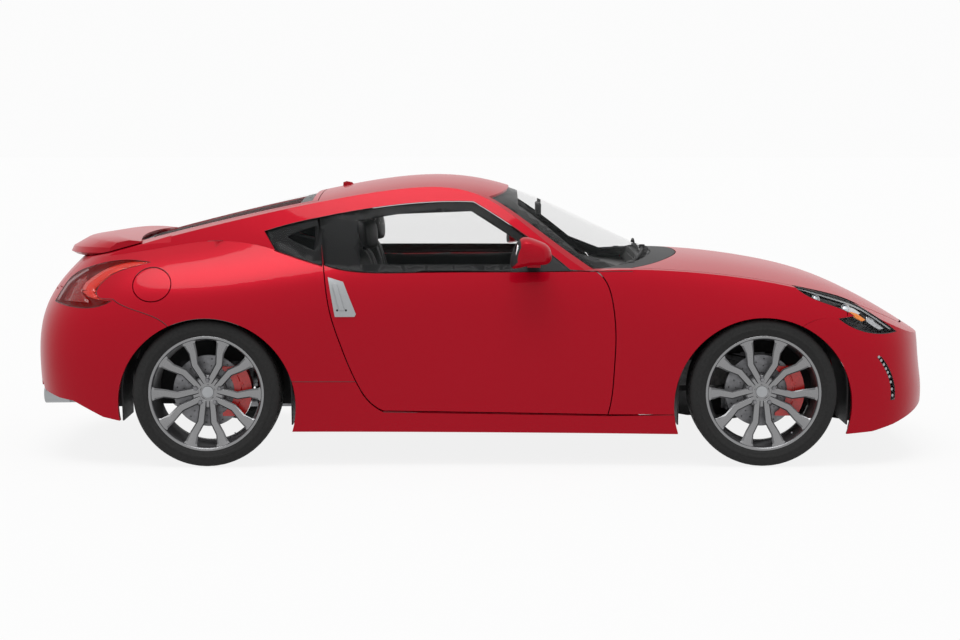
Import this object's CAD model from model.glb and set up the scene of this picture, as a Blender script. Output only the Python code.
import bpy
import bmesh
import math
from mathutils import Matrix, Vector
from mathutils.bvhtree import BVHTree


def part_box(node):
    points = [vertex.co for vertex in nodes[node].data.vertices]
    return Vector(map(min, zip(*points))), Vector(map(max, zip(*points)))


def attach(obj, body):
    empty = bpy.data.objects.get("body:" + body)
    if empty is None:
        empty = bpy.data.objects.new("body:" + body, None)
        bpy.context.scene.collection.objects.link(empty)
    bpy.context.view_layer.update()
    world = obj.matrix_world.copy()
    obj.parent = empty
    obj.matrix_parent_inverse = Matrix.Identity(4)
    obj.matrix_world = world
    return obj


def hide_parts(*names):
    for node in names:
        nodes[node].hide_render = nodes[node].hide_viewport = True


bl_info = {
    "name": "Sports coupe",
    "version": (1, 0, 0),
    "blender": (4, 5, 0),
    "location": "View3D > Sidebar > Coupe",
    "description": "Dresses the coupe's frame: paint, glass, lamps, wheels, cabin and studio",
    "category": "Object",
}

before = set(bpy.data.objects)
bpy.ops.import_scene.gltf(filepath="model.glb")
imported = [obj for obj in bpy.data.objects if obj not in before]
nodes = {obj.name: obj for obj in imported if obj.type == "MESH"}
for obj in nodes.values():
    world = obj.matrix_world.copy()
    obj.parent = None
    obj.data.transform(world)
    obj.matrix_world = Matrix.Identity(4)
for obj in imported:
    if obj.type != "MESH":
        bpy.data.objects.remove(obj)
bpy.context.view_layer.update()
trees = {}
made = {}

# Measures in metres, the camera's sensor and lens in millimetres, and angles in radians unless a name says degrees

FULL_TURN = 2 * math.pi
SIDES = (("right", -1), ("left", 1))
EYE = Vector((0.0135, -10.9225, 1.65))
NEAR_PLANE = -0.9225
SENSOR, LENS = 36.0, 82.9
TILT_DEGREES, PAN_DEGREES = 84.468, 0.13
AXLES = {"front": (1.2885, 0.77, 0.245), "rear": (-1.2615, 0.775, 0.27)}
AXLE_HEIGHT = 0.34
RIM_INSET = 0.008
HUB_DEPTH, HUB_THICK = 0.062, 0.034
DISC_GAP, DISC_FACE, DISC_RADIUS = 0.0003, 0.0203, 0.165
CALIPER_PROUD, RIB_CIRCLE, NUT_CIRCLE = 0.024, 0.15, 0.057
TYRE_STEPS, RIM_STEPS, DISC_STEPS, HUB_STEPS, CAP_STEPS = 150, 120, 96, 60, 48
TREAD_RADIUS, OUTER_BLOCKS, INNER_BLOCKS = 0.3345, (0.7, 0.93), (0.3, 0.66)
BLOCK_EDGE, BLOCK_DEPTH = 0.0011, -0.0045
HOLE_START, HOLE_STEP = 0.088, 0.008
FIFTH_DEGREES, SPOKE_SPREAD = 72, math.radians(17.5)
MACHINED_OUT, MACHINED_DEPTH = 0.8, -0.078
PIECE_MERGE, SKIN_MERGE, NODE_MERGE = 1e-6, 1e-5, 0.00002
RIBBON_ROWS, MISS_PLANE = 3, -0.8
OUT_WAY, OUT_LEAST = (0.35, 0.7, 0.6), 0.15
BORDER_LIFT, BORDER_THICK = 0.0004, 0.0005
TRAY_LEVELS, NOSE_LEVELS = (0.178, 0.182), (0.498, 0.502)
SHARP_DEGREES, BEVEL_DEGREES, CREASE_DEGREES = 35, 40, 28
SEAT_MIDDLE = 0.378
DOOR_INNER = 0.742
WHEEL_MIDDLE = Vector((0.16, SEAT_MIDDLE, 0.79))
WHEEL_TILT = math.radians(25)
DIAL_HEIGHT, POD_HEIGHT = 0.845, 0.872
POD_PLACES = (-0.09, 0.0, 0.09)
VENT_PLACES = (-0.62, -0.16, 0.16, 0.62)
FLOOR_SIZE, FLOOR_DROP = 60.0, 0.0005
FLOOR_WHITE, SKY_TONE = 0.86, 0.97
SUN_WAY, SUN_SPREAD = (0.08, 0.2, -0.97), math.radians(40)
NOISE_DETAIL, RAMP_STOPS, RELIEF_DEPTH = 3.0, (0.3, 0.7), 0.001


# Finishes

# Name: slot, colour (none for the paint, which is set in the panel), roughness, metal, how far colour and roughness
# wander, scale of that noise, and the rest
FINISHES = {
    "paint_metallic_red": ("body_paint", None, 0.34, 0.3, 0.1, 2600, dict(
        spread=0.04, Coat_Weight=0.25, Coat_Roughness=0.03, Coat_IOR=1.4, Specular_IOR_Level=0.05)),
    "black_gloss": ("black_plastic", (0.012, 0.012, 0.013), 0.14, 0, 0.1, 60, dict(Specular_IOR_Level=0.3)),
    "moulded_black": ("black_plastic", (0.02, 0.02, 0.021), 0.55, 0, 0.12, 500, dict(
        bump=0.25, bump_scale=1400, cells=True, Specular_IOR_Level=0.2)),
    "rubber": ("black_plastic", (0.018, 0.018, 0.018), 0.7, 0, 0.2, 90, dict(
        bump=0.15, bump_scale=900, Specular_IOR_Level=0.2)),
    "window_glass": ("glass", (0.03, 0.035, 0.035), 0.03, 0, 0.05, 3, dict(
        spread=0.01, Alpha=0.06, Specular_IOR_Level=0.15)),
    "clear_lens": ("lens", (0.05, 0.052, 0.055), 0.04, 0, 0.03, 5, dict(
        spread=0.01, Alpha=0.08, Specular_IOR_Level=0.2)),
    "red_lens": ("red_lens", (0.3, 0.001, 0.001), 0.05, 0, 0.1, 8, dict(
        spread=0.02, Alpha=0.2, Specular_IOR_Level=0.2)),
    "chrome": ("bright_metal", (0.82, 0.82, 0.83), 0.1, 1, 0.04, 30, {}),
    "satin_metal": ("bright_metal", (0.36, 0.37, 0.38), 0.32, 1, 0.06, 700, dict(bump=0.05)),
    "silvered_glass": ("bright_metal", (0.75, 0.77, 0.78), 0.03, 1, 0.02, 5, dict(spread=0.01)),
    "raw_steel": ("steel", (0.22, 0.22, 0.23), 0.45, 0.9, 0.25, 45, dict(bump=0.1)),
    "cast_alloy": ("steel", (0.2, 0.2, 0.2), 0.6, 0.6, 0.3, 80, dict(bump=0.6, bump_scale=500)),
    "underseal": ("black_plastic", (0.03, 0.03, 0.03), 0.8, 0, 0.3, 40, dict(bump=0.7, bump_scale=260)),
    "wheel_alloy": ("alloy", (0.13, 0.13, 0.135), 0.34, 0.85, 0.05, 900, dict(Coat_Weight=0.4)),
    "machined_alloy": ("alloy", (0.25, 0.25, 0.255), 0.26, 1, 0.05, 700, dict(Coat_Weight=0.1)),
    "red_enamel": ("red_enamel", (0.62, 0.008, 0.006), 0.3, 0, 0.15, 120, dict(bump=0.08, Coat_Weight=0.5)),
    "black_leather": ("leather", (0.016, 0.0155, 0.015), 0.42, 0, 0.2, 60, dict(
        bump=0.35, bump_scale=750, cells=True)),
    "piping": ("leather", (0.22, 0.22, 0.22), 0.35, 0, 0.2, 900, {}),
    "carpet": ("leather", (0.02, 0.02, 0.021), 0.95, 0, 0.35, 900, dict(bump=0.9, bump_scale=1500)),
    "lining_cloth": ("leather", (0.06, 0.06, 0.062), 0.9, 0, 0.2, 1200, dict(bump=0.5, bump_scale=1600)),
    "printed_border": ("black_plastic", (0.006, 0.006, 0.0065), 0.35, 0, 0.1, 40, dict(Specular_IOR_Level=0.1)),
    "lamp_housing": ("black_plastic", (0.015, 0.015, 0.016), 0.3, 0, 0.2, 90, {}),
    "lamp_eye": ("lens", (0.75, 0.8, 0.85), 0.05, 0.4, 0.1, 60, dict(Coat_Weight=1.0)),
    "amber_lens": ("lens", (0.95, 0.25, 0.01), 0.2, 0, 0.12, 220, dict(bump=0.3, bump_scale=500, Coat_Weight=0.6)),
    "reflector_cells": ("bright_metal", (0.55, 0.56, 0.58), 0.22, 0.9, 0.25, 90, dict(
        bump=0.5, bump_scale=160, cells=True)),
    "lit_red": ("red_lens", (0.92, 0.035, 0.01), 0.16, 0, 0.12, 160, dict(
        bump=0.2, bump_scale=320, Coat_Weight=0.8)),
    "dark_red_cells": ("red_lens", (0.2, 0.004, 0.004), 0.22, 0, 0.6, 120, dict(
        bump=0.6, bump_scale=190, cells=True, Coat_Weight=0.6)),
    "studio_pale": (None, (0.6, 0.6, 0.6), 0.9, 0, 0.004, 2, dict(Specular_IOR_Level=0.0)),
}

# Each finish with the starts of its nodes' names; all other nodes are of steel
NODE_LOOKS = {
    "paint_metallic_red": ("roof_panel", "front_bumper", "rear_bumper", "side_skirts", "bonnet", "hatch_frame",
                           "rear_spoiler", "fuel_lid", "body_side", "front_fender", "door_shell", "door_mirror"),
    "window_glass": ("fixed_glass", "door_glass", "hatch_glass"), "clear_lens": ("headlamps",),
    "red_lens": ("tail_lamps",), "black_gloss": ("front_grille", "pillar_covers"),
    "moulded_black": ("arch_liners", "cowl_panel", "cabin_mirror", "radiator"),
    "black_leather": ("seats", "dashboard", "steering_wheel"), "satin_metal": ("door_handle",),
    "red_enamel": ("front_caliper", "rear_calipers"), "cast_alloy": ("engine_block",), "underseal": ("floor_pan",),
    "rubber": ("front_tyre", "rear_tyre"), "wheel_alloy": ("front_rim", "rear_rim"),
}


def shader_node(tree, kind, **entries):
    """A new node, with values for its inputs."""
    new = tree.nodes.new("ShaderNode" + kind)
    fill_in(new, entries)
    return new


def fill_in(node, entries):
    for entry, value in entries.items():
        node.inputs[entry.replace("_", " ")].default_value = value


def link(source, output, target, entry):
    source.id_data.links.new(source.outputs[output], target.inputs[entry])


def finish(name, colour, rough, metal, vary, scale, bump=0.0, bump_scale=None, cells=False, spread=0.05, **sockets):
    """A node material: colour and roughness wander a little with a fine noise, and the relief comes from bump."""
    material = bpy.data.materials.new(name)
    material.use_nodes = True
    tree = material.node_tree
    shader = tree.nodes["Principled BSDF"]
    place = shader_node(tree, "TexCoord")
    noise = shader_node(tree, "TexNoise", Scale=scale, Detail=NOISE_DETAIL)
    link(place, "Object", noise, "Vector")
    ramp = shader_node(tree, "ValToRGB")
    for stop, position, share in zip(ramp.color_ramp.elements, RAMP_STOPS, (1 - vary, 1 + vary)):
        stop.position = position
        stop.color = [min(1, tone * share) for tone in colour] + [1]
    link(noise, "Fac", ramp, "Fac")
    link(ramp, "Color", shader, "Base Color")
    span = shader_node(tree, "MapRange", To_Min=max(0.0, rough - spread), To_Max=rough + spread)
    link(noise, "Fac", span, "Value")
    link(span, "Result", shader, "Roughness")
    fill_in(shader, {"Metallic": metal, **sockets})
    if bump:
        relief = shader_node(tree, "TexVoronoi" if cells else "TexNoise", Scale=bump_scale or scale)
        link(place, "Object", relief, "Vector")
        lift = shader_node(tree, "Bump", Strength=bump, Distance=RELIEF_DEPTH)
        link(relief, "Distance" if cells else "Fac", lift, "Height")
        link(lift, "Normal", shader, "Normal")
    return material


def look(name):
    """The material of a row in the table, made once."""
    if name not in made:
        _, colour, rough, metal, vary, scale, rest = FINISHES[name]
        made[name] = finish(name, colour or bpy.context.scene.coupe_looks.paint, rough, metal, vary, scale, **rest)
    return made[name]


# Mesh helpers

def vec(*place):
    return Vector(place)


def angles(count, arc=FULL_TURN, ends=0):
    """Even steps round an arc; with ends=1 its far end comes too."""
    return [arc * i / count for i in range(count + ends)]


def circle(count, place, twist=0.0):
    """A closed ring of points: what a function of the cosine and the sine gives for each step."""
    return [place(math.cos(a + twist), math.sin(a + twist)) for a in angles(count)]


def loop(bm, points):
    ring = bmesh.ops.create_circle(bm, segments=len(points), radius=1.0)["verts"]
    for vert, point in zip(ring, points):
        vert.co = point
    return ring, list({edge for vert in ring for edge in vert.link_edges})


def loft(bm, rings):
    """A skin through closed rings of equal count, with its ends filled."""
    loops = [loop(bm, points) for points in rings]
    for (_, first), (_, second) in zip(loops, loops[1:]):
        bmesh.ops.bridge_loops(bm, edges=first + second)
    for ring, _ in (loops[0], loops[-1]):
        bmesh.ops.contextual_create(bm, geom=ring)


def turned(bm, profile, steps, closed=False):
    """A profile of (place along the axle, radius) spun about the axle."""
    verts = [bm.verts.new((0, y, r)) for y, r in profile]
    edges = [bm.edges.new(ends) for ends in zip(verts, verts[1:])]
    if closed:
        edges.append(bm.edges.new((verts[-1], verts[0])))
    bmesh.ops.spin(bm, geom=verts + edges, cent=(0, 0, 0), axis=(0, 1, 0), angle=FULL_TURN, steps=steps,
                   use_merge=True)


def move_new(bm, known, turn, place):
    """Turns and moves the vertices that came after a set of known ones."""
    verts = [vert for vert in bm.verts if vert not in known]
    bmesh.ops.rotate(bm, cent=(0, 0, 0), matrix=turn, verts=verts)
    bmesh.ops.translate(bm, vec=place, verts=verts)


def turned_at(bm, profile, place, axis, steps, closed=False):
    """A turned shape at a place, with its face towards an axis."""
    known = set(bm.verts)
    turned(bm, profile, steps, closed)
    move_new(bm, known, vec(0, -1, 0).rotation_difference(Vector(axis).normalized()).to_matrix(), place)


def round_box(bm, size, place, bevel, segments=3, turn=None):
    """A box with rounded edges."""
    verts = bmesh.ops.create_cube(bm, size=1.0)["verts"]
    bmesh.ops.scale(bm, vec=size, verts=verts)
    edges = list({edge for vert in verts for edge in vert.link_edges})
    verts = bmesh.ops.bevel(bm, geom=edges, offset=bevel, segments=segments, profile=0.5, affect="EDGES",
                            material=-1)["verts"]
    if turn is not None:
        bmesh.ops.rotate(bm, cent=(0, 0, 0), matrix=turn, verts=verts)
    bmesh.ops.translate(bm, vec=place, verts=verts)


def bolt(bm, place, axis, radius, height, sides=6):
    """A nut or bolt head, with a chamfered crown."""
    turn = vec(0, 0, 1).rotation_difference(Vector(axis)).to_matrix()
    loft(bm, [circle(sides, lambda c, s: Vector(place) + turn @ vec(r * c, r * s, h))
              for r, h in ((radius, 0.0), (radius, height * 0.7), (radius * 0.8, height))])


def curve_at(points, share):
    """A smooth line through points, at a share of their count."""
    last = len(points) - 1
    place = min(max(share, 0.0) * last, last - 1e-6)
    index = int(place)
    u = place - index
    a, b, c, d = (Vector(points[max(0, min(last, index + step))]) for step in (-1, 0, 1, 2))
    return 0.5 * (2 * b + (c - a) * u + (2 * a - 5 * b + 4 * c - d) * u * u + (3 * b - a - 3 * c + d) * u ** 3)


def tube(bm, points, radius, steps=24, sides=8):
    """A round bar along a smooth line through points."""
    centres = [curve_at(points, i / steps) for i in range(steps + 1)]
    rings = []
    for i, centre in enumerate(centres):
        along = (centres[min(i + 1, steps)] - centres[max(i - 1, 0)]).normalized()
        side = (side - along * side.dot(along) if i else along.orthogonal()).normalized()
        up = along.cross(side)
        rings.append(circle(sides, lambda c, s: centre + (side * c + up * s) * radius))
    loft(bm, rings)


def tree_of(node):
    if node not in trees:
        mesh = nodes[node].data
        trees[node] = BVHTree.FromPolygons([v.co for v in mesh.vertices], [p.vertices for p in mesh.polygons])
    return trees[node]


def seen(xa, za, node):
    """Where a place read on the plane of the near side falls on a node's right side: its point and normal."""
    point, normal, _, _ = tree_of(node).ray_cast(EYE, (vec(xa, NEAR_PLANE, za) - EYE).normalized())
    if point is None or point.y >= 0:
        point, normal, _, _ = tree_of(node).find_nearest(vec(xa, MISS_PLANE, za))
    return point, normal


def on_top(x, y, node_names):
    """The highest place of some nodes over a point of the plan, with its normal; over a gap, the nearest place."""
    hits = [tree_of(name).ray_cast(vec(x, y, 2.0), vec(0, 0, -1)) for name in node_names]
    hits = [hit for hit in hits if hit[0] is not None]
    if not hits:
        near = [tree_of(name).find_nearest(vec(x, y, 1.0)) for name in node_names]
        hits = [min(near, key=lambda hit: hit[3])]
    return max(hits, key=lambda hit: hit[0].z)[:2]


def ribbon(upper, lower, node, lift, steps):
    """A strip between two lines read from the side, laid on a node and lifted along its normal."""
    bm = bmesh.new()
    for vert in bmesh.ops.create_grid(bm, x_segments=steps, y_segments=RIBBON_ROWS, size=1.0)["verts"]:
        share, rise = (vert.co.x + 1) / 2, (vert.co.y + 1) / 2
        place = curve_at(lower, share).lerp(curve_at(upper, share), rise)
        point, normal = seen(place.x, place.y, node)
        vert.co = point + normal * lift
    return bm


def skin(node, keep):
    """The merged faces of a node that pass a test on their centre and normal."""
    bm = bmesh.new()
    bm.from_mesh(nodes[node].data)
    bmesh.ops.remove_doubles(bm, verts=bm.verts, dist=SKIN_MERGE)
    gone = [face for face in bm.faces if not keep(face.calc_center_median(), face.normal)]
    bmesh.ops.delete(bm, geom=gone, context="FACES")
    return bm


def push(bm, distance):
    bm.normal_update()
    for vert, step in [(vert, vert.normal.copy()) for vert in bm.verts]:
        vert.co += step * distance


def on_side(bm, sign):
    """A right hand mesh as it is for the right side, and mirrored for the left."""
    if sign > 0:
        bmesh.ops.scale(bm, vec=(1, -1, 1), verts=bm.verts)
        bmesh.ops.reverse_faces(bm, faces=bm.faces)
    return bm


def placed(name, data):
    obj = bpy.data.objects.new(name, data)
    bpy.context.scene.collection.objects.link(obj)
    return obj


def piece(name, bm, finish_name, body="body", slot=None, wall=0.0, wall_side=-1.0, bevel=0.0, smooth_levels=0,
          recalc=True, replaces=()):
    """Makes the finished object of a mesh, with its finish, its body and its slot."""
    bmesh.ops.remove_doubles(bm, verts=bm.verts, dist=PIECE_MERGE)
    if recalc:
        bmesh.ops.recalc_face_normals(bm, faces=bm.faces)
    mesh = bpy.data.meshes.new(name)
    bm.to_mesh(mesh)
    bm.free()
    mesh.materials.append(look(finish_name))
    mesh.polygons.foreach_set("use_smooth", [True] * len(mesh.polygons))
    mesh.set_sharp_from_angle(angle=math.radians(SHARP_DEGREES))
    obj = placed(name, mesh)
    if wall:
        solid = obj.modifiers.new("wall", "SOLIDIFY")
        solid.thickness, solid.offset = wall, wall_side
    if bevel:
        edge = obj.modifiers.new("edges", "BEVEL")
        edge.width, edge.segments, edge.limit_method = bevel, 2, "ANGLE"
        edge.angle_limit = math.radians(BEVEL_DEGREES)
    if smooth_levels:
        soft = obj.modifiers.new("form", "SUBSURF")
        soft.levels = soft.render_levels = smooth_levels
    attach(obj, body)
    if replaces:
        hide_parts(*replaces)
    return obj


def skin_piece(name, node, keep, finish_name, body="body", **shape):
    """A piece made of some faces of a node."""
    piece(name, skin(node, keep), finish_name, body, recalc=False, **shape)


def pair(label, make, finish_name, body="body", **shape):
    """A right hand piece and its left copy; a body's name that ends in _ takes the side's as well."""
    for side, sign in SIDES:
        piece(f"{label}_{side}", on_side(make(), sign), finish_name, body + side if body[-1] == "_" else body, **shape)


# Wheels, made about the origin with their outer face to the right

def hub_place(width):
    """The hub's outer face along the axle."""
    return -(width / 2 - RIM_INSET) + HUB_DEPTH


def round_axle(face, steps):
    """A face's centre, its distance from the axle and its step round it."""
    centre = face.calc_center_median()
    turn = int(round(math.degrees(math.atan2(centre.z, centre.x)) / 360 * steps - 0.5))
    return centre, math.hypot(centre.x, centre.z), turn


def tyre_mesh(width):
    """Rounded shoulders, raised rings on the wall, grooves round the tread and cut blocks."""
    half = width / 2
    wall = [(0.925, 0.2655), (0.955, 0.272), (0.972, 0.279), (0.985, 0.288), (0.994, 0.2895), (0.996, 0.297),
            (0.988, 0.2985), (0.985, 0.308), (0.975, 0.318), (0.972, 0.3195), (0.955, 0.3245), (0.93, 0.33)]
    tread = [(0.88, 0.3352), (0.8, 0.3372), (0.7, 0.3385), (0.695, 0.332), (0.665, 0.332), (0.66, 0.3388),
             (0.46, 0.3395), (0.3, 0.3398), (0.295, 0.3325), (0.235, 0.3325), (0.23, 0.3399), (0.08, 0.34)]
    bead = [(0.9, 0.2535), (-0.9, 0.2535)]
    outer = wall + tread
    profile = [(-share, r) for share, r in outer] + outer[::-1] + bead
    bm = bmesh.new()
    turned(bm, [(half * share, r) for share, r in profile], TYRE_STEPS, closed=True)
    bmesh.ops.recalc_face_normals(bm, faces=bm.faces)
    cut = []
    for face in bm.faces:
        centre, radius, turn = round_axle(face, TYRE_STEPS)
        share = abs(centre.y) / half
        if radius > TREAD_RADIUS and ((OUTER_BLOCKS[0] < share < OUTER_BLOCKS[1] and turn % 3 == 0)
                                      or (INNER_BLOCKS[0] < share < INNER_BLOCKS[1] and turn % 4 == 1)):
            cut.append(face)
    bmesh.ops.inset_region(bm, faces=cut, thickness=BLOCK_EDGE, depth=BLOCK_DEPTH)
    return bm


def rim_mesh(width):
    """A dished barrel with a stepped lip, and five pairs of spokes that part at an elbow."""
    half = width / 2 - RIM_INSET
    bm = bmesh.new()
    turned(bm, [(-half, 0.265), (-half - 0.0005, 0.262), (-half + 0.002, 0.2545), (-half + 0.008, 0.2495),
                (-half + 0.03, 0.2455), (-0.03, 0.2365), (0.02, 0.2345), (half - 0.02, 0.241), (half - 0.002, 0.2455),
                (half, 0.262), (half - 0.004, 0.265), (half - 0.012, 0.262), (half - 0.014, 0.2535),
                (-half + 0.014, 0.2535), (-half + 0.012, 0.262), (-half + 0.003, 0.2655)], RIM_STEPS, closed=True)
    hub = hub_place(width)
    turned(bm, [(hub + y, r) for y, r in (
        (0.006, 0.0), (0.004, 0.024), (0.001, 0.031), (0.0035, 0.036), (0.002, 0.046), (0.004, 0.068), (0.012, 0.078),
        (0.032, 0.08), (HUB_THICK, 0.074), (HUB_THICK, 0.0))], HUB_STEPS)
    for index in range(5):
        for side in (-1, 1):
            spoke_mesh(bm, math.radians(-90 + FIFTH_DEGREES * index), side, half, hub)
    return bm


def spoke_mesh(bm, middle, side, half, hub):
    """One spoke: it runs beside its pair's middle line to the elbow, then towards its own foot on the barrel."""
    out, cross = vec(math.cos(middle), 0, math.sin(middle)), vec(-math.sin(middle), 0, math.cos(middle))
    foot = middle + side * SPOKE_SPREAD
    foot_out = vec(math.cos(foot), 0, math.sin(foot))
    line = [out * 0.04 + cross * (side * 0.02), out * 0.08 + cross * (side * 0.0245),
            out * 0.136 + cross * (side * 0.03), foot_out * 0.195, foot_out * 0.238, foot_out * 0.2525]
    sizes = ((hub - 0.002, 0.032, 0.03), (hub - 0.006, 0.034, 0.03), (hub - 0.02, 0.037, 0.03),
             (-half + 0.024, 0.04, 0.028), (-half + 0.01, 0.056, 0.026), (-half + 0.006, 0.074, 0.022))
    rings = []
    for i, (place, (depth, width, thick)) in enumerate(zip(line, sizes)):
        along = (line[min(i + 1, 5)] - line[max(i - 1, 0)]).normalized()
        wide = vec(-along.z, 0, along.x) * (width / 2)
        base, deep = place + vec(0, depth, 0), vec(0, thick, 0)
        rings.append([base + wide + deep * 0.22, base + wide * 0.66, base - wide * 0.66, base - wide + deep * 0.22,
                      base - wide * 0.8 + deep, base + wide * 0.8 + deep])
    loft(bm, rings)


def machined_faces(rim, end, sign):
    """Gives the outward faces of the spokes and the lip the brighter, machined finish."""
    rim.data.materials.append(look("machined_alloy"))
    _, y, width = AXLES[end]
    for face in rim.data.polygons:
        if sign * face.normal.y > MACHINED_OUT and sign * face.center.y - (y + width / 2) > MACHINED_DEPTH:
            face.material_index = 1


def disc_mesh(width):
    """A vented disc with drilled faces and its bell."""
    start = hub_place(width) + HUB_THICK + DISC_GAP
    front, back = start + 0.02, start + 0.044
    radii = [0.088, 0.096, 0.104, 0.112, 0.12, 0.128, 0.136, 0.144, 0.152, 0.16, DISC_RADIUS]
    profile = [(start, 0.0285), (start, 0.07), (start + 0.002, 0.08), (front, 0.0845)] + [(front, r) for r in radii]
    profile += [(front + 0.0085, DISC_RADIUS), (front + 0.0085, 0.158), (back - 0.0085, 0.158),
                (back - 0.0085, DISC_RADIUS), (back, DISC_RADIUS), (back, 0.088), (back, 0.0285)]
    bm = bmesh.new()
    turned(bm, profile, DISC_STEPS, closed=True)
    bmesh.ops.recalc_face_normals(bm, faces=bm.faces)
    drilled = []
    for face in bm.faces:
        centre, radius, turn = round_axle(face, DISC_STEPS)
        ring = int((radius - HOLE_START) / HOLE_STEP)
        if abs(centre.y - front) < 0.0005 and ring in (1, 3, 5, 7) and (turn - 2 * ring) % 8 == 0:
            drilled.append(face)
    bmesh.ops.inset_individual(bm, faces=drilled, thickness=0.0014, depth=0.0)
    bmesh.ops.inset_individual(bm, faces=drilled, thickness=0.0001, depth=-0.006)
    for face in drilled:
        face.material_index = 1
    return bm


def nuts_mesh(width):
    """Five wheel nuts in their seats, and the tyre valve."""
    bm = bmesh.new()
    for index in range(5):
        angle = math.radians(90 + FIFTH_DEGREES * index)
        place = vec(NUT_CIRCLE * math.cos(angle), hub_place(width) + 0.004, NUT_CIRCLE * math.sin(angle))
        bolt(bm, place, (0, -1, 0), 0.0105, 0.019)
        bolt(bm, place, (0, -1, 0), 0.0135, 0.006, 16)
    angle = math.radians(-54)
    tube(bm, [(r * math.cos(angle), -(width / 2) + depth, r * math.sin(angle))
              for r, depth in ((0.232, 0.03), (0.222, 0.008))], 0.0035, steps=3)
    return bm


def cap_mesh(width):
    bm = bmesh.new()
    turned(bm, [(hub_place(width) + y, r) for y, r in (
        (-0.003, 0.0), (-0.0025, 0.018), (0.0, 0.026), (0.006, 0.0275), (0.012, 0.0275), (0.012, 0.0))], CAP_STEPS)
    return bm


def caliper_marks(width):
    """Bolts and ribs on a caliper's outer face."""
    face = hub_place(width) + HUB_THICK + DISC_FACE - CALIPER_PROUD
    bm = bmesh.new()
    for z in (-0.085, -0.032, 0.032, 0.085):
        bolt(bm, (math.sqrt(DISC_RADIUS ** 2 - z * z) - 0.006, face + 0.001, z), (0, -1, 0), 0.0075, 0.005, 8)
    for low, high in ((-0.072, -0.045), (-0.02, 0.02), (0.045, 0.072)):
        tube(bm, [(math.sqrt(RIB_CIRCLE ** 2 - z * z), face - 0.001, z) for z in (low, (low + high) / 2, high)], 0.005,
             steps=6, sides=6)
    return bm


def wheels():
    for side, sign in SIDES:
        for end, (x, y, width) in AXLES.items():
            stem = f"{end}_{side}"

            def fitted(label, make, finish_name, body="wheel_" + stem, **shape):
                bm = on_side(make(width), sign)
                bmesh.ops.translate(bm, vec=(x, sign * y, AXLE_HEIGHT), verts=bm.verts)
                return piece(f"{label}_{stem}", bm, finish_name, body, **shape)

            fitted("tyre", tyre_mesh, "rubber", slot="tyre_rubber", replaces=[f"{end}_tyre_{side}"])
            rim = fitted("rim", rim_mesh, "wheel_alloy", replaces=[f"{end}_rim_{side}"], bevel=0.0012)
            machined_faces(rim, end, sign)
            disc = fitted("disc", disc_mesh, "raw_steel", replaces=[f"{end}_disc_{side}"])
            disc.data.materials.append(look("lamp_housing"))
            fitted("nuts", nuts_mesh, "raw_steel", slot="bright_metal")
            fitted("cap", cap_mesh, "satin_metal", slot="alloy")
            fitted("caliper_marks", caliper_marks, "red_enamel", "knuckle_" + side if end == "front" else "body")


# Body details

def painted_panels():
    """Gives each node its finish, smooth faces and sharp creases."""
    for name, obj in nodes.items():
        found = [finish_name for finish_name, stems in NODE_LOOKS.items() if name.startswith(stems)]
        material = look(found[0] if found else "raw_steel")
        for place in obj.material_slots:
            place.material = material
        if not obj.material_slots:
            obj.data.materials.append(material)
        obj.data.polygons.foreach_set("use_smooth", [True] * len(obj.data.polygons))
        obj.modifiers.new("weld", "WELD").merge_threshold = NODE_MERGE
        obj.modifiers.new("creases", "EDGE_SPLIT").split_angle = math.radians(CREASE_DEGREES)


def outward(centre, normal, side_cut=0.04):
    """Whether a face of a lamp or pane looks outward; side_cut leaves its cut edges out."""
    ahead, aside, up = OUT_WAY
    way = vec(ahead if centre.x > 0 else -ahead, -aside if centre.y < 0 else aside, up)
    return abs(normal.y) > side_cut and normal.dot(way) > OUT_LEAST


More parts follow.
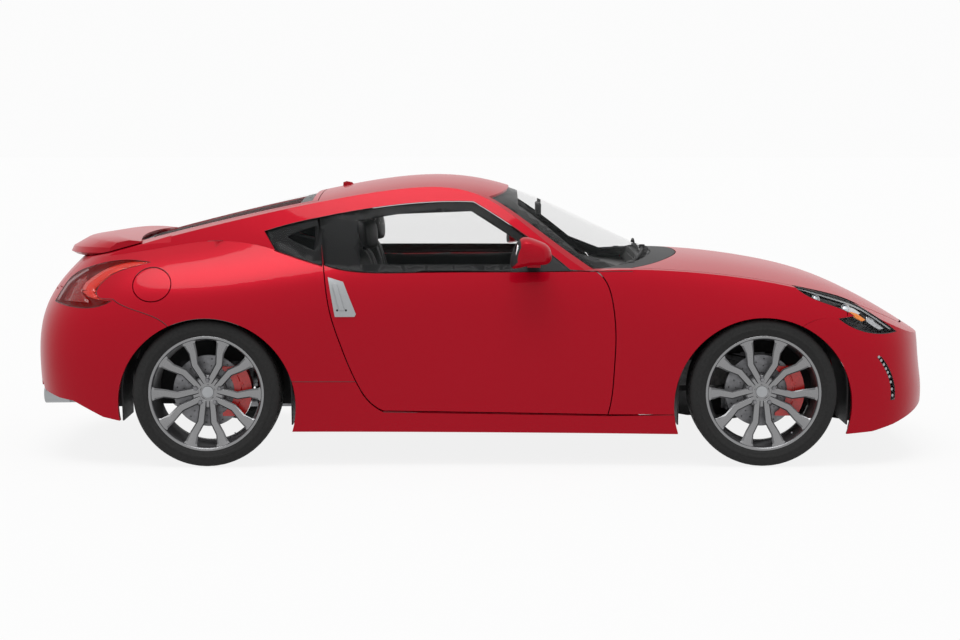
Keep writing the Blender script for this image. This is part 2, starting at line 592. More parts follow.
# Strips read from the photograph on the right side, with their left copies: label, node, finish, lift, wall, steps,
# upper line and lower line
STRIPS = (
    ("belt_strip", "door_glass_right", "rubber", 0.004, 0.004, 40,
     [(0.5, 0.905), (0.2, 0.903), (-0.3, 0.901), (-0.56, 0.903), (-0.7, 0.926)],
     [(0.5, 0.893), (0.2, 0.89), (-0.3, 0.888), (-0.56, 0.89), (-0.7, 0.913)]),
    ("headlamp_reflector", "headlamps", "chrome", -0.012, 0.001, 24,
     [(1.655, 0.757), (1.7, 0.752), (1.735, 0.725)], [(1.64, 0.722), (1.668, 0.716), (1.7, 0.7)]),
    ("headlamp_marker", "headlamps", "amber_lens", -0.006, 0.0015, 24,
     [(1.672, 0.722), (1.705, 0.712), (1.745, 0.684)], [(1.668, 0.714), (1.69, 0.697), (1.728, 0.676)]),
    ("headlamp_low_beam", "headlamps", "reflector_cells", -0.01, 0.001, 24,
     [(1.752, 0.706), (1.79, 0.682), (1.835, 0.648)], [(1.75, 0.68), (1.785, 0.655), (1.812, 0.64)]),
    ("headlamp_brow", "headlamps", "satin_metal", -0.004, 0.001, 40,
     [(1.43, 0.829), (1.56, 0.794), (1.69, 0.751), (1.78, 0.699), (1.862, 0.643)],
     [(1.44, 0.822), (1.56, 0.786), (1.688, 0.744), (1.776, 0.693), (1.856, 0.638)]),
    ("tail_arrow_high", "tail_lamps", "lit_red", -0.004, 0.002, 30,
     [(-1.505, 0.946), (-1.6, 0.946), (-1.7, 0.918), (-1.79, 0.862), (-1.818, 0.822)],
     [(-1.52, 0.938), (-1.6, 0.92), (-1.69, 0.88), (-1.752, 0.83), (-1.76, 0.81)]),
    ("tail_arrow_low", "tail_lamps", "lit_red", -0.004, 0.002, 12,
     [(-1.755, 0.818), (-1.728, 0.794), (-1.69, 0.775)], [(-1.818, 0.815), (-1.78, 0.785), (-1.7, 0.769)]),
    ("tail_chrome", "tail_lamps", "satin_metal", -0.003, 0.001, 24,
     [(-1.79, 0.918), (-1.872, 0.864), (-1.915, 0.806), (-1.932, 0.776)],
     [(-1.786, 0.911), (-1.864, 0.858), (-1.906, 0.802), (-1.922, 0.776)]),
    ("tail_cells", "tail_lamps", "dark_red_cells", -0.01, 0.001, 24,
     [(-1.8, 0.9), (-1.86, 0.85), (-1.895, 0.8), (-1.905, 0.775)],
     [(-1.8, 0.85), (-1.822, 0.815), (-1.8, 0.79), (-1.79, 0.765)]),
)


def strips(on, body="body"):
    """The strips of the table that lie on a node."""
    for label, node, finish_name, lift, wall, steps, upper, lower in STRIPS:
        if node == on:
            pair(label, lambda: ribbon(upper, lower, node, lift, steps), finish_name, body, wall=wall, wall_side=0.0)


def lamps(node, lens, label):
    """A clear cover over an open housing, both taken from the lamp's own solid, and the strips inside."""
    skin_piece(label + "_cover", node, outward, lens, wall=0.0025, replaces=[node])
    skin_piece(label + "_bowl", node, lambda c, n: not outward(c, n), "lamp_housing", wall=0.0015)
    if label == "headlamp":
        headlamp_insides()
    strips(node)


def headlamp_insides():
    """Projectors with their rings, and the row of small running lamps."""
    def spot(xa, za, depth):
        point, normal = seen(xa, za, "headlamps")
        return point - normal * depth, normal

    def eyes():
        bm = bmesh.new()
        for xa, za, radius in ((1.515, 0.786, 0.021), (1.655, 0.735, 0.027)):
            turned_at(bm, [(-0.012, radius), (-0.01, radius * 0.92), (-0.004, radius * 0.84), (0.006, radius * 0.8),
                           (0.008, radius * 1.02), (-0.006, radius * 1.04)], spot(xa, za, 0.022)[0],
                      (0.55, -0.75, 0.3), 32, closed=True)
        return bm

    def balls():
        bm = bmesh.new()
        for xa, za, radius in ((1.515, 0.786, 0.0165), (1.655, 0.735, 0.022)):
            bmesh.ops.create_uvsphere(bm, u_segments=24, v_segments=16, radius=radius,
                                      matrix=Matrix.Translation(spot(xa, za, 0.024)[0]))
        return bm

    def beads():
        bm = bmesh.new()
        line = [(1.803, 0.517), (1.834, 0.468), (1.858, 0.413), (1.871, 0.33)]
        for index in range(9):
            place, normal = spot(*curve_at(line, (index + 0.4) / 8.8), 0.004)
            turned_at(bm, [(-0.001, 0.0), (0.001, 0.0045), (-0.003, 0.0065), (-0.005, 0.0065), (-0.005, 0.0)],
                      place, normal, 16)
        return bm

    pair("running_beads", beads, "satin_metal")
    pair("headlamp_rings", eyes, "chrome")
    pair("headlamp_eyes", balls, "lamp_eye")


def frit(node, corners, plan, body, label, keep=None):
    """The printed black border of a pane: its inner faces outside a clear polygon, given in plan or from the side."""
    bm = skin(node, lambda c, n: not outward(c, n, 0.0) and (keep is None or keep(c)))
    flat = [vec(x, v, 0) if plan else vec(x, 0, v) for x, v in corners]
    axis = vec(0, 0, 1) if plan else vec(0, 1, 0)
    middle = sum(flat, Vector()) / len(flat)
    walls = []
    for start, end in zip(flat, flat[1:] + flat[:1]):
        normal = (end - start).cross(axis).normalized()
        if normal.dot(start - middle) < 0:
            normal.negate()
        walls.append((start, normal))
        bmesh.ops.bisect_plane(bm, geom=bm.verts[:] + bm.edges[:] + bm.faces[:], dist=1e-6, plane_co=start,
                               plane_no=normal)
    clear = [face for face in bm.faces
             if all((face.calc_center_median() - start).dot(normal) < 0 for start, normal in walls)]
    bmesh.ops.delete(bm, geom=clear, context="FACES")
    push(bm, BORDER_LIFT)
    piece(label, bm, "printed_border", body, wall=BORDER_THICK, wall_side=1.0, recalc=False)


def window_borders():
    frit("fixed_glass", [(0.17, -0.48), (0.17, 0.48), (0.45, 0.645), (0.63, 0.6), (0.715, 0.45), (0.755, 0.25),
                         (0.765, 0), (0.755, -0.25), (0.715, -0.45), (0.63, -0.6), (0.45, -0.66)], True, "body",
         "windscreen_border", lambda c: c.x > -0.2)
    frit("hatch_glass", [(-0.86, -0.47), (-0.86, 0.47), (-1.2, 0.45), (-1.5, 0.42), (-1.59, 0.3), (-1.605, 0),
                         (-1.59, -0.3), (-1.5, -0.42), (-1.2, -0.45)], True, "hatch", "hatch_border")
    for side, sign in SIDES:
        frit("fixed_glass", [(-0.775, 0.985), (-0.865, 1.022), (-0.905, 1.045), (-0.835, 1.075), (-0.775, 1.092)],
             False, "body", "quarter_border_" + side, lambda c: c.x < -0.2 and c.y * sign > 0)
        frit("door_glass_" + side, [(-0.56, 0.925), (-0.575, 1.12), (-0.39, 1.15), (-0.05, 1.163), (0.14, 1.045),
                                    (0.3, 0.925)], False, "door_" + side, "door_glass_border_" + side)


def mirrors():
    """Painted mirror cap, dark foot and the silvered glass."""
    def rear(centre, normal):
        return normal.x < -0.6 and abs(centre.y) > 0.87

    def cap(centre, normal):
        return abs(centre.y) > 0.872 and centre.z > 0.915 and not rear(centre, normal)

    for side, _ in SIDES:
        node, body = "door_mirror_" + side, "door_" + side
        skin_piece("mirror_cap_" + side, node, cap, "paint_metallic_red", body, replaces=[node])
        skin_piece("mirror_foot_" + side, node, lambda c, n: not cap(c, n), "moulded_black", body)
        face = skin(node, rear)
        if face.verts:
            middle = sum((v.co for v in face.verts), Vector()) / len(face.verts)
            bmesh.ops.translate(face, vec=-middle, verts=face.verts)
            bmesh.ops.scale(face, vec=(0.6, 0.84, 0.8), verts=face.verts)
            bmesh.ops.translate(face, vec=middle + vec(-0.0025, 0, 0), verts=face.verts)
        piece("mirror_glass_" + side, face, "silvered_glass", body, wall=0.002, recalc=False)


def handle_locks():
    """Two small round marks on each door handle."""
    for side, sign in SIDES:
        node = "door_handle_" + side
        low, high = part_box(node)
        bm = bmesh.new()
        for step in (-0.02, 0.02):
            hit = tree_of(node).ray_cast(vec((low.x + high.x) / 2 + step, sign * 2, low.z + 0.03), vec(0, -sign, 0))
            if hit[0] is not None:
                turned_at(bm, [(-0.0014, 0.0), (-0.0014, 0.0035), (-0.001, 0.005), (0.003, 0.005), (0.003, 0.0)],
                          hit[0], (0, sign, 0), 20)
        if bm.verts:
            piece("door_lock_" + side, bm, "black_gloss", "door_" + side)


def wipers():
    """Two wiper arms with their blades, laid on the screen's foot."""
    arms, blades = bmesh.new(), bmesh.new()
    for pivot, tip in ((0.36, -0.14), (-0.2, -0.56)):
        line = []
        for i in range(9):
            share = i / 8
            y = pivot + (tip - pivot) * share
            x = 0.775 - 0.045 * share - 0.12 * max(0.0, abs(y) - 0.35)
            line.append(on_top(x, y, ["fixed_glass", "cowl_panel"])[0] + vec(0, 0, 0.012 if i else 0.016))
        tube(arms, line[:7], 0.0055, steps=20)
        turned_at(arms, [(-0.01, 0.0), (-0.01, 0.013), (0.008, 0.016), (0.008, 0.0)], line[0], (0, 0, 1), 20)
        section = (vec(0.006, 0, -0.004), vec(0.004, 0, 0.004), vec(-0.004, 0, 0.004), vec(-0.006, 0, -0.004),
                   vec(0, 0, -0.01))
        loft(blades, [[curve_at(line[2::2], i / 12) + corner for corner in section] for i in range(13)])
    piece("wiper_arms", arms, "moulded_black")
    piece("wiper_blades", blades, "rubber")


def scuttle():
    """Slots in the panel under the screen."""
    bm = bmesh.new()
    for index in range(34):
        y = -0.6 + index * 0.0364
        x = 0.8 - 0.13 * (y / 0.6) ** 2 * 0.8
        place, normal = on_top(x, y, ["cowl_panel", "fixed_glass", "bonnet"])
        if normal.z > 0.5:
            round_box(bm, (0.03, 0.012, 0.004), place + vec(0, 0, 0.001), 0.0015, 1)
    piece("scuttle_slots", bm, "moulded_black")


def exhaust_tips():
    """Rolled sleeves on the tail pipes."""
    for side, sign in SIDES:
        bm = bmesh.new()
        turned_at(bm, [(0.0, 0.0455), (-0.0015, 0.0475), (0.0, 0.049), (0.006, 0.0488), (0.115, 0.0478),
                       (0.115, 0.0474), (0.004, 0.0474)], (-2.0635, sign * 0.54, 0.3), (-1, 0, 0), 56, closed=True)
        piece("tail_pipe_" + side, bm, "satin_metal")


def engine_dressing():
    """Cover, filler cap and dipstick over the engine's block."""
    low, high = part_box("engine_block")
    top, middle = high.z, (low.x + high.x) / 2
    cover, caps = bmesh.new(), bmesh.new()
    for rib in range(7):
        round_box(cover, (0.36, 0.018, 0.012), (middle, -0.18 + rib * 0.06, top + 0.005), 0.005)
    round_box(cover, (0.4, 0.46, 0.01), (middle, 0, top + 0.002), 0.004)
    piece("engine_cover", cover, "moulded_black")
    turned_at(caps, [(-0.02, 0.0), (-0.02, 0.02), (-0.016, 0.026), (0.004, 0.026), (0.004, 0.0)],
              (middle + 0.12, 0.15, top + 0.012), (0, 0, 1), 24)
    tube(caps, [(middle - 0.1, y, top + rise) for y, rise in ((-0.2, 0), (-0.2, 0.02), (-0.185, 0.028), (-0.17, 0.02))],
         0.003, steps=12, sides=6)
    piece("engine_caps", caps, "amber_lens", slot="black_plastic")


def closings():
    """The walls of the wheel wells, the pillars' backs, the tray under the engine and the panel before the bonnet."""
    bm = bmesh.new()
    for sign in (-1, 1):
        for x, y, low, high, reach in ((1.2885, 0.468, 0.5, 0.7, 0.36), (-1.2615, 0.566, 0.455, 0.7, 0.36)):
            outline = [(x - reach, low), (x + reach, low), (x + reach - 0.02, low + 0.08),
                       (x + reach * 0.6, high - 0.02), (x, high), (x - reach * 0.6, high - 0.02),
                       (x - reach + 0.02, low + 0.08)]
            loft(bm, [[vec(px, sign * (y + step), pz) for px, pz in outline] for step in (0.0, 0.003)])
            for rib in (-0.5, 0.0, 0.5):
                round_box(bm, (0.016, 0.01, high - low - 0.09), (x + rib * reach, sign * y, (low + high) / 2 - 0.01),
                          0.003, 2)
        for x0, x1, y, low, high in ((1.43, 1.645, 0.452, 0.25, 0.51), (-1.64, -1.42, 0.566, 0.25, 0.465),
                                     (-1.06, -0.9, 0.566, 0.25, 0.465), (1.685, 1.84, 0.7, 0.19, 0.6),
                                     (-1.78, -1.66, 0.7, 0.255, 0.6)):
            round_box(bm, (x1 - x0, 0.004, high - low), ((x0 + x1) / 2, sign * y, (low + high) / 2), 0.0015, 1)
    piece("wheelhouse_walls", bm, "moulded_black")
    bm = bmesh.new()
    for sign in (-1, 1):
        loft(bm, [[vec(x, sign * (y + step), z)
                   for x, step in ((-0.776, 0.0), (-0.736, 0.0), (-0.736, 0.004), (-0.776, 0.004))]
                  for y, z in ((0.69, 0.955), (0.65, 1.04), (0.61, 1.11), (0.575, 1.165))])
    piece("pillar_backs", bm, "moulded_black")
    bm = bmesh.new()
    outline = [(0.88, 0.3), (0.88, -0.3), (0.98, -0.44), (1.6, -0.44), (1.72, -0.6), (1.9, -0.6), (1.98, -0.4),
               (1.98, 0.4), (1.9, 0.6), (1.72, 0.6), (1.6, 0.44), (0.98, 0.44)]
    loft(bm, [[vec(x, y, z) for x, y in outline] for z in TRAY_LEVELS])
    for y in (-0.28, -0.14, 0.0, 0.14, 0.28):
        round_box(bm, (0.86, 0.02, 0.008), (1.42, y, 0.177), 0.003, 2)
    for x, y in ((0.92, -0.26), (0.92, 0.26), (1.3, -0.4), (1.3, 0.4), (1.8, -0.54), (1.8, 0.54), (1.94, 0.0)):
        bolt(bm, (x, y, TRAY_LEVELS[0]), (0, 0, -1), 0.008, 0.005)
    piece("engine_tray", bm, "moulded_black")
    bm = bmesh.new()
    edge = []
    for y in (-0.54, -0.45, -0.36, -0.27, -0.18, -0.09, 0.0, 0.09, 0.18, 0.27, 0.36, 0.45, 0.54):
        hit = tree_of("front_bumper").ray_cast(vec(1.8, y, 0.5), vec(1, 0, 0))
        if hit[0] is not None:
            edge.append((hit[0].x - 0.003, y))
    outline = edge + [(x - 0.11, y) for x, y in reversed(edge)]
    loft(bm, [[vec(x, y, z) for x, y in outline] for z in NOSE_LEVELS])
    piece("slam_panel", bm, "moulded_black")


def panel_fasteners():
    """Screws on the tops inside the engine bay."""
    bm = bmesh.new()
    for x in (1.0, 1.2, 1.4, 1.6):
        for y in (-0.5, 0.5):
            place, _ = on_top(x, y, ["engine_block", "arch_liners", "floor_pan"])
            bolt(bm, place - vec(0, 0, 0.0005), (0, 0, 1), 0.006, 0.004)
    piece("bay_screws", bm, "raw_steel")


# Cabin, with the right seat and door drawn and the left ones mirrored

# Of the cushion: x and top. Of the back, from its foot: front edge (x, z), rear edge and half width
CUSHION = ((0.083, 0.436), (0.066, 0.462), (0.03, 0.47), (-0.08, 0.46), (-0.2, 0.446), (-0.33, 0.433),
           (-0.4, 0.436), (-0.455, 0.42))
BACK = ((vec(-0.372, 0, 0.455), vec(-0.5, 0, 0.415), 0.205), (vec(-0.398, 0, 0.5), vec(-0.532, 0, 0.45), 0.222),
        (vec(-0.43, 0, 0.616), vec(-0.565, 0, 0.575), 0.23), (vec(-0.462, 0, 0.735), vec(-0.598, 0, 0.7), 0.232),
        (vec(-0.492, 0, 0.845), vec(-0.628, 0, 0.83), 0.224), (vec(-0.516, 0, 0.93), vec(-0.65, 0, 0.915), 0.2),
        (vec(-0.545, 0, 0.972), vec(-0.647, 0, 0.962), 0.16), (vec(-0.575, 0, 0.982), vec(-0.625, 0, 0.978), 0.11))


def mirrored(line):
    """A line of (y, value) from its middle, with its mirror image before it."""
    return [(-y, value) for y, value in reversed(line[1:])] + line


def seat_cushion():
    bm = bmesh.new()
    rings = []
    for x, top in CUSHION:
        low, valley = 0.348, top - 0.024
        half = [(0.0, valley + 0.003), (0.075, valley), (0.135, valley + 0.001), (0.152, valley + 0.01),
                (0.18, top - 0.003), (0.212, top - 0.006), (0.23, top - 0.035), (0.23, low + 0.03), (0.205, low)]
        rings.append([vec(x, -SEAT_MIDDLE + y, z) for y, z in mirrored(half)])
    loft(bm, rings)
    return bm


def seat_back():
    bm = bmesh.new()
    line = ((0.0, 0.2), (0.34, 0.21), (0.58, 0.2), (0.66, 0.13), (0.8, 0.02), (0.93, 0.05), (1.0, 0.35),
            (0.97, 0.75), (0.75, 0.98), (0.3, 1.0))
    loft(bm, [[front.lerp(rear, depth) + vec(0, -SEAT_MIDDLE + y, 0)
               for y, depth in mirrored([(share * half, depth) for share, depth in line])]
              for front, rear, half in BACK])
    return bm


def head_restraint():
    bm = bmesh.new()
    rings = []
    for z, wide, deep in ((-0.072, 0.085, 0.03), (-0.055, 0.115, 0.045), (0.0, 0.123, 0.051), (0.045, 0.118, 0.049),
                          (0.066, 0.095, 0.036), (0.074, 0.05, 0.018)):
        place = vec(-0.545 - 0.12 * z, -SEAT_MIDDLE, 1.045 + z)
        rings.append(circle(16, lambda c, s: place + vec(deep * c * (1 - 0.25 * abs(s)), wide * s, 0)))
    loft(bm, rings)
    return bm


def seat_seams():
    """Piping where the panels of the cushion and back meet."""
    bm = bmesh.new()
    for side in (-1, 1):
        tube(bm, [(x, -SEAT_MIDDLE + side * 0.15, top - 0.012) for x, top in CUSHION[2:7]], 0.0028, steps=30, sides=6)
        tube(bm, [front.lerp(rear, 0.125) + vec(0, -SEAT_MIDDLE + side * 0.665 * half, 0)
                  for front, rear, half in BACK[1:7]], 0.0028, steps=36, sides=6)
    for height in (0.61, 0.7, 0.79, 0.87):
        x = -0.398 - (height - 0.5) * 0.268 - 0.0265
        tube(bm, [(x, -SEAT_MIDDLE + y, height) for y in (-0.135, -0.05, 0.05, 0.135)], 0.0018, steps=8, sides=6)
    for x in (-0.06, -0.15, -0.24):
        top = 0.4575 + (x + 0.08) * 0.108 - 0.0225
        tube(bm, [(x, -SEAT_MIDDLE + y, top) for y in (-0.13, -0.05, 0.05, 0.13)], 0.0018, steps=8, sides=6)
    return bm


def seat_frames():
    """The moulded plinths, the head restraints' posts and the belt buckles."""
    bm = bmesh.new()
    round_box(bm, (0.4, 0.3, 0.11), (-0.2, -SEAT_MIDDLE, 0.285), 0.012)
    round_box(bm, (0.34, 0.012, 0.05), (-0.22, -SEAT_MIDDLE - 0.222, 0.36), 0.005)
    for side in (-1, 1):
        y = -SEAT_MIDDLE + side * 0.055
        tube(bm, [(-0.566, y, 0.96), (-0.556, y, 1.01)], 0.006, steps=2)
    round_box(bm, (0.022, 0.016, 0.11), (-0.375, -SEAT_MIDDLE + 0.24, 0.455), 0.004)
    return bm


def seats():
    for side, sign in SIDES:
        for label, make, finish_name, pad in (
                ("cushion", seat_cushion, "black_leather", True), ("back", seat_back, "black_leather", True),
                ("head_restraint", head_restraint, "black_leather", True), ("seams", seat_seams, "piping", False),
                ("frame", seat_frames, "moulded_black", False)):
            stands_for = ["seats"] if label == "back" and side == "right" else ()
            obj = piece(f"seat_{label}_{side}", on_side(make(), sign), finish_name, slot="leather",
                        smooth_levels=2 if pad else 0, replaces=stands_for)


def linings():
    """Cloth and moulded trim over the painted panels' inner faces, where the cabin shows them."""
    skin_piece("roof_lining", "roof_panel", lambda c, n: n.z < -0.35 and c.z < 1.3, "lining_cloth", wall=0.003,
               wall_side=1.0)
    skin_piece("hatch_lining", "hatch_frame", lambda c, n: n.z < -0.35, "lining_cloth", "hatch", wall=0.0015,
               wall_side=1.0, slot="black_plastic")
    for side, sign in SIDES:
        def trimmed(c, n):
            return ((n.y * -sign > 0.25 or n.z < -0.6) and -1.95 < c.x < 0.72
                    and c.z > (0.25 if c.x > -0.85 else 0.655))

        def carded(c, n):
            return n.y * -sign > 0.3 or (n.z > 0.3 and abs(c.y) < 0.745 and c.z > 0.8)

        skin_piece("side_lining_" + side, "body_side_" + side, trimmed, "lining_cloth", wall=0.002, wall_side=1.0)
        skin_piece("door_card_" + side, "door_shell_" + side, carded, "black_leather", "door_" + side, wall=0.003,
                   wall_side=1.0)
    pair("armrest", armrest, "black_leather", "door_", smooth_levels=2)
    pair("door_speaker", speaker, "moulded_black", "door_")
    pair("door_release", door_release, "satin_metal", "door_")


def armrest():
    bm = bmesh.new()
    y = -DOOR_INNER - 0.012
    rings = []
    for x, width, top, depth in ((-0.42, 0.02, 0.62, 0.05), (-0.36, 0.052, 0.655, 0.07), (-0.1, 0.058, 0.672, 0.075),
                                 (0.12, 0.056, 0.7, 0.07), (0.26, 0.04, 0.735, 0.06), (0.32, 0.014, 0.75, 0.045)):
        rings.append([vec(x, y, top - depth), vec(x, y + width, top - depth * 0.8),
                      vec(x, y + width + 0.006, top - depth * 0.4), vec(x, y + width, top),
                      vec(x, y + width * 0.4, top + 0.006), vec(x, y, top)])
    loft(bm, rings)
    return bm


def speaker():
    bm = bmesh.new()
    turned(bm, [(0.0, 0.078), (0.008, 0.076), (0.01, 0.07), (0.004, 0.066), (0.002, 0.03), (0.004, 0.0)], 40)
    bmesh.ops.translate(bm, vec=(0.38, -DOOR_INNER - 0.012, 0.42), verts=bm.verts)
    return bm


def door_release():
    bm = bmesh.new()
    tube(bm, [(0.2, -DOOR_INNER + 0.004, 0.79), (0.23, -DOOR_INNER + 0.02, 0.792), (0.29, -DOOR_INNER + 0.02, 0.794),
              (0.31, -DOOR_INNER + 0.002, 0.795)], 0.007, steps=14)
    return bm


def steering_wheel():
    """Rim, spoked pad and ring, drawn with the face towards -Y and then put in place."""
    turn = Matrix((vec(0, -1, 0), vec(math.cos(WHEEL_TILT), 0, -math.sin(WHEEL_TILT)),
                   vec(math.sin(WHEEL_TILT), 0, math.cos(WHEEL_TILT)))).transposed().to_4x4()

    def fitted(label, bm, finish_name, **shape):
        bmesh.ops.transform(bm, matrix=Matrix.Translation(WHEEL_MIDDLE) @ turn, verts=bm.verts)
        piece(label, bm, finish_name, "steering_wheel", **shape)

    rim, pad, trim = bmesh.new(), bmesh.new(), bmesh.new()
    turned(rim, [(0.0155 * math.sin(a), 0.178 + 0.0145 * math.cos(a)) for a in angles(14)], 72, closed=True)
    fitted("steering_rim", rim, "black_leather", replaces=["steering_wheel"])
    for direction, wide in ((vec(1, 0, 0), 0.046), (vec(-1, 0, 0), 0.046), (vec(0, 0, -1), 0.04)):
        cross = vec(0, 1, 0).cross(direction)
        rings = []
        for reach, depth, share, thick in ((0.03, -0.002, 1.3, 0.016), (0.07, 0.002, 1.0, 0.014),
                                           (0.12, 0.004, 0.75, 0.012), (0.176, 0.0, 0.9, 0.011)):
            base, half = direction * reach + vec(0, depth, 0), cross * (wide * share / 2)
            crown, deep = vec(0, 0.004, 0), vec(0, thick, 0)
            rings.append([base + half, base + half * 0.6 - crown, base - half * 0.6 - crown, base - half,
                          base - half * 0.8 + deep, base + half * 0.8 + deep])
        loft(pad, rings)
    turned(pad, [(-0.014, 0.0), (-0.013, 0.035), (-0.008, 0.056), (0.004, 0.063), (0.04, 0.06), (0.045, 0.0)], 48)
    for side in (-1, 1):
        for z in (-0.009, 0.009):
            round_box(pad, (0.018, 0.008, 0.012), (side * 0.085, -0.004, z), 0.002, 2)
    fitted("steering_pad", pad, "moulded_black")
    turned(trim, [(-0.0152, 0.024), (-0.0158, 0.026), (-0.0152, 0.028), (-0.013, 0.026)], 40, closed=True)
    fitted("steering_ring", trim, "satin_metal")


def dial(bm, place, radius):
    """A round instrument: its bezel, tick marks and needle."""
    known = set(bm.verts)
    turned(bm, [(-0.01, radius), (-0.013, radius * 0.95), (-0.008, radius * 0.88), (0.0, radius * 0.88),
                (0.0, radius)], 36, closed=True)
    for tick in range(11):
        angle = math.radians(-120 + 24 * tick)
        out = vec(math.sin(angle), 0, math.cos(angle))
        tube(bm, [out * radius * reach + vec(0, -0.002, 0) for reach in (0.7, 0.82)], 0.0008, steps=1, sides=4)
    tube(bm, [vec(0, -0.003, 0), vec(-0.6 * radius, -0.003, -0.35 * radius)], 0.0011, steps=1, sides=4)
    move_new(bm, known, Matrix.Rotation(math.radians(-90), 3, "Z") @ Matrix.Rotation(math.radians(20), 3, "X"), place)


def dashboard():
    """Hood, dials, vents, screen, controls, glove box, the lever's boot, the console's lid, trays and pedals."""
    hood, dials, trim, boot, lid, tray = (bmesh.new() for _ in range(6))
    arc = angles(10, math.pi, ends=1)
    rings = []
    for x, half, top in ((0.4, 0.165, 0.9), (0.44, 0.172, 0.906), (0.52, 0.16, 0.89), (0.6, 0.11, 0.866)):
        rings.append([vec(x, SEAT_MIDDLE + half * math.cos(a), DIAL_HEIGHT + (top - DIAL_HEIGHT) * math.sin(a))
                      for a in arc]
                     + [vec(x, SEAT_MIDDLE + (half - 0.008) * math.cos(a), 0.843 + (top - 0.853) * math.sin(a))
                        for a in reversed(arc)])
    loft(hood, rings)
    for y in POD_PLACES:
        loft(hood, [circle(20, lambda c, s: vec(x, y + r * c, POD_HEIGHT + r * 0.9 * s))
                    for x, r in ((0.47, 0.04), (0.48, 0.042), (0.54, 0.036), (0.58, 0.02))])
    piece("dash_hoods", hood, "moulded_black", slot="leather")

    for y, radius in ((0.463, 0.046), (SEAT_MIDDLE, 0.062), (0.293, 0.046)):
        dial(dials, vec(0.44, y, DIAL_HEIGHT), radius)
    for y in POD_PLACES:
        dial(dials, vec(0.468, y, POD_HEIGHT), 0.034)
    for y in VENT_PLACES:
        turned_at(dials, [(-0.006, 0.04), (-0.009, 0.038), (-0.004, 0.034), (0.004, 0.034), (0.004, 0.04)],
                  (0.393, y, 0.795), (-1, 0, 0), 32, closed=True)
        for blade in range(5):
            round_box(trim, (0.01, 0.06, 0.002), (0.396, y, 0.775 + 0.01 * blade), 0.0008, 1)
    piece("dials", dials, "satin_metal")
    for size, place, bevel in (((0.014, 0.2, 0.11), (0.421, 0, 0.722), 0.004),
                               ((0.01, 0.165, 0.078), (0.416, 0, 0.728), 0.003),
                               ((0.014, 0.215, 0.08), (0.462, 0, 0.625), 0.004)):
        round_box(trim, size, place, bevel)
    for y in (-0.068, 0.0, 0.068):
        turned_at(trim, [(-0.016, 0.0), (-0.016, 0.013), (-0.012, 0.016), (0.004, 0.019), (0.004, 0.0)],
                  (0.452, y, 0.628), (-1, 0, 0), 24)
    round_box(trim, (0.024, 0.37, 0.125), (0.456, -0.4, 0.655), 0.006, turn=Matrix.Rotation(0.3, 3, "Y"))
    piece("dash_controls", trim, "black_gloss")

    loft(boot, [circle(20, lambda c, s: vec(0.135 + half * c, half * s, z), twist)
                for z, half, twist in ((0.546, 0.062, 0.0), (0.56, 0.056, 0.1), (0.566, 0.044, 0.0),
                                       (0.582, 0.036, 0.12), (0.59, 0.026, 0.0), (0.612, 0.016, 0.1))])
    piece("lever_boot", boot, "black_leather", smooth_levels=1)
    round_box(lid, (0.3, 0.19, 0.03), (-0.16, 0, 0.552), 0.01)
    piece("console_lid", lid, "black_leather", smooth_levels=1)
    for x in (0.255, 0.345):
        loft(tray, [circle(24, lambda c, s: vec(x + r * c, r * s, z))
                    for r, z in ((0.042, 0.5462), (0.042, 0.5495), (0.036, 0.5495), (0.036, 0.5462))])
    for wide, high, place in ((0.06, 0.09, (0.575, 0.3, 0.3)), (0.05, 0.07, (0.58, 0.4, 0.33)),
                              (0.05, 0.07, (0.585, 0.49, 0.33))):
        round_box(tray, (0.012, wide, high), place, 0.004)
    piece("trays_and_pedals", tray, "satin_metal")


def carpets():
    """Carpet over the floor, the tunnel, the heel board and the load floor."""
    def laid(c, n):
        floor = n.z > 0.3 and c.x < 0.7 and abs(c.y) < 0.8 and c.z > 0.2
        tunnel = -0.95 < c.x < 0.6 and abs(n.y) > 0.8 and abs(c.y) < 0.2 and 0.2 < c.z < 0.43
        return floor or tunnel or (n.x > 0.3 and -0.9 < c.x < -0.6)
    skin_piece("carpet", "floor_pan", laid, "carpet", wall=0.004, wall_side=1.0)


def belt():
    """A seat belt's webbing from its pillar, with its guide."""
    bm = bmesh.new()
    line = [(-0.64, -0.6, 1.08), (-0.64, -0.625, 0.95), (-0.635, -0.64, 0.75), (-0.6, -0.65, 0.5), (-0.56, -0.65, 0.3)]
    section = (vec(0.024, 0, 0), vec(0.024, 0.0014, 0), vec(-0.024, 0.0014, 0), vec(-0.024, 0, 0))
    loft(bm, [[curve_at(line, i / 16) + corner for corner in section] for i in range(17)])
    round_box(bm, (0.07, 0.022, 0.05), (-0.64, -0.602, 1.085), 0.006)
    return bm


# Stage

def show_white(surface, share, tone, output):
    """Mixes plain white into a surface, for the eye, for reflections and for what shows through glass."""
    tree = surface.id_data
    white = shader_node(tree, "Emission", Color=(tone, tone, tone, 1))
    ways, mix = shader_node(tree, "LightPath"), shader_node(tree, "MixShader")
    first, second, amount = (shader_node(tree, "Math") for _ in range(3))
    first.operation = second.operation = "MAXIMUM"
    amount.operation = "MULTIPLY"
    amount.inputs[1].default_value = share
    for source, way, target, entry in (
            (ways, "Is Camera Ray", first, 0), (ways, "Is Glossy Ray", first, 1), (first, 0, second, 0),
            (ways, "Is Transmission Ray", second, 1), (second, 0, amount, 0), (amount, 0, mix, 0),
            (surface, 0, mix, 1), (white, 0, mix, 2), (mix, 0, tree.nodes[output], "Surface")):
        link(source, way, target, entry)


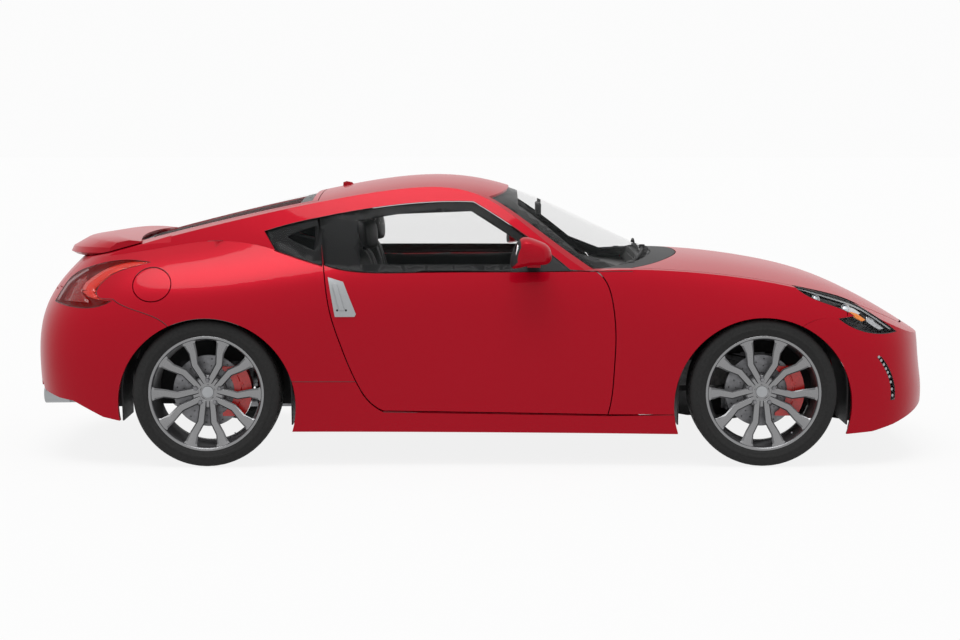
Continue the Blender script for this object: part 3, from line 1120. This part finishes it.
def studio_floor():
    bm = bmesh.new()
    bmesh.ops.create_grid(bm, x_segments=2, y_segments=2, size=FLOOR_SIZE)
    mesh = bpy.data.meshes.new("studio_floor")
    bm.to_mesh(mesh)
    bm.free()
    material = look("studio_pale")
    show_white(material.node_tree.nodes["Principled BSDF"], FLOOR_WHITE, 1.0, "Material Output")
    mesh.materials.append(material)
    ground = placed("studio_floor", mesh)
    ground.location.z = -FLOOR_DROP


def studio_sky():
    world = bpy.data.worlds.new("studio")
    world.use_nodes = True
    sky = world.node_tree.nodes["Background"]
    fill_in(sky, {"Color": (1, 1, 1, 1), "Strength": bpy.context.scene.coupe_looks.ambient})
    show_white(sky, 1.0, SKY_TONE, "World Output")
    bpy.context.scene.world = world


def stage():
    scene = bpy.context.scene
    studio_floor()
    studio_sky()
    light = bpy.data.lights.new("key", "SUN")
    light.energy, light.angle = scene.coupe_looks.key_power, SUN_SPREAD
    placed("key", light).rotation_euler = Vector(SUN_WAY).to_track_quat("-Z", "Y").to_euler()
    lens = bpy.data.cameras.new("side_view")
    lens.sensor_width, lens.lens = SENSOR, LENS
    lens.dof.use_dof = False
    camera = placed("side_view", lens)
    camera.location = EYE
    camera.rotation_euler = (math.radians(TILT_DEGREES), 0, math.radians(PAN_DEGREES))
    scene.camera = camera
    scene.view_settings.view_transform = "Standard"


# Add-on

class CoupeLooks(bpy.types.PropertyGroup):
    paint: bpy.props.FloatVectorProperty(name="Paint", description="Body colour", subtype="COLOR", size=3, min=0.0,
                                         max=1.0, default=(0.36, 0.001, 0.011))
    key_power: bpy.props.FloatProperty(name="Key light", description="Strength of the soft sun", default=2.3, min=0.0)
    ambient: bpy.props.FloatProperty(name="Ambient", description="Strength of the surrounding white", default=0.7,
                                     min=0.0)


class COUPE_OT_body(bpy.types.Operator):
    """Paints the panels and adds the borders, belt strips, mirrors, wipers and closings"""
    bl_idname = "coupe.body"
    bl_label = "Body"

    def execute(self, context):
        painted_panels()
        window_borders()
        strips("door_glass_right", "door_")
        mirrors()
        handle_locks()
        wipers()
        scuttle()
        exhaust_tips()
        engine_dressing()
        closings()
        panel_fasteners()
        return {"FINISHED"}


class COUPE_OT_wheels(bpy.types.Operator):
    """Adds the tyres, rims, discs, nuts and caps"""
    bl_idname = "coupe.wheels"
    bl_label = "Wheels"

    def execute(self, context):
        wheels()
        return {"FINISHED"}


class COUPE_OT_lamps(bpy.types.Operator):
    """Adds the headlamps and tail lamps with their insides"""
    bl_idname = "coupe.lamps"
    bl_label = "Lamps"

    def execute(self, context):
        lamps("headlamps", "clear_lens", "headlamp")
        lamps("tail_lamps", "red_lens", "tail_lamp")
        return {"FINISHED"}


class COUPE_OT_cabin(bpy.types.Operator):
    """Adds the seats, steering wheel, dashboard, linings, carpets and belts"""
    bl_idname = "coupe.cabin"
    bl_label = "Cabin"

    def execute(self, context):
        seats()
        steering_wheel()
        dashboard()
        linings()
        carpets()
        pair("belt", belt, "lining_cloth", slot="black_plastic")
        return {"FINISHED"}


class COUPE_OT_stage(bpy.types.Operator):
    """Sets the pale floor, the white surroundings, the soft sun and the camera"""
    bl_idname = "coupe.stage"
    bl_label = "Stage"

    def execute(self, context):
        stage()
        return {"FINISHED"}


class COUPE_PT_panel(bpy.types.Panel):
    """The coupe's looks, and its pieces in the order they are built"""
    bl_label = "Coupe"
    bl_idname = "COUPE_PT_panel"
    bl_space_type = "VIEW_3D"
    bl_region_type = "UI"
    bl_category = "Coupe"

    def draw(self, context):
        looks = context.scene.coupe_looks
        for name in ("paint", "key_power", "ambient"):
            self.layout.prop(looks, name)
        for operator in OPERATORS:
            self.layout.operator(operator.bl_idname)


OPERATORS = (COUPE_OT_body, COUPE_OT_wheels, COUPE_OT_lamps, COUPE_OT_cabin, COUPE_OT_stage)
CLASSES = (CoupeLooks,) + OPERATORS + (COUPE_PT_panel,)


def register():
    for item in CLASSES:
        bpy.utils.register_class(item)
    bpy.types.Scene.coupe_looks = bpy.props.PointerProperty(type=CoupeLooks)


def unregister():
    del bpy.types.Scene.coupe_looks
    for item in reversed(CLASSES):
        bpy.utils.unregister_class(item)


def main():
    register()
    bpy.ops.coupe.body()
    bpy.ops.coupe.wheels()
    bpy.ops.coupe.lamps()
    bpy.ops.coupe.cabin()
    bpy.ops.coupe.stage()


if __name__ == "__main__":
    main()
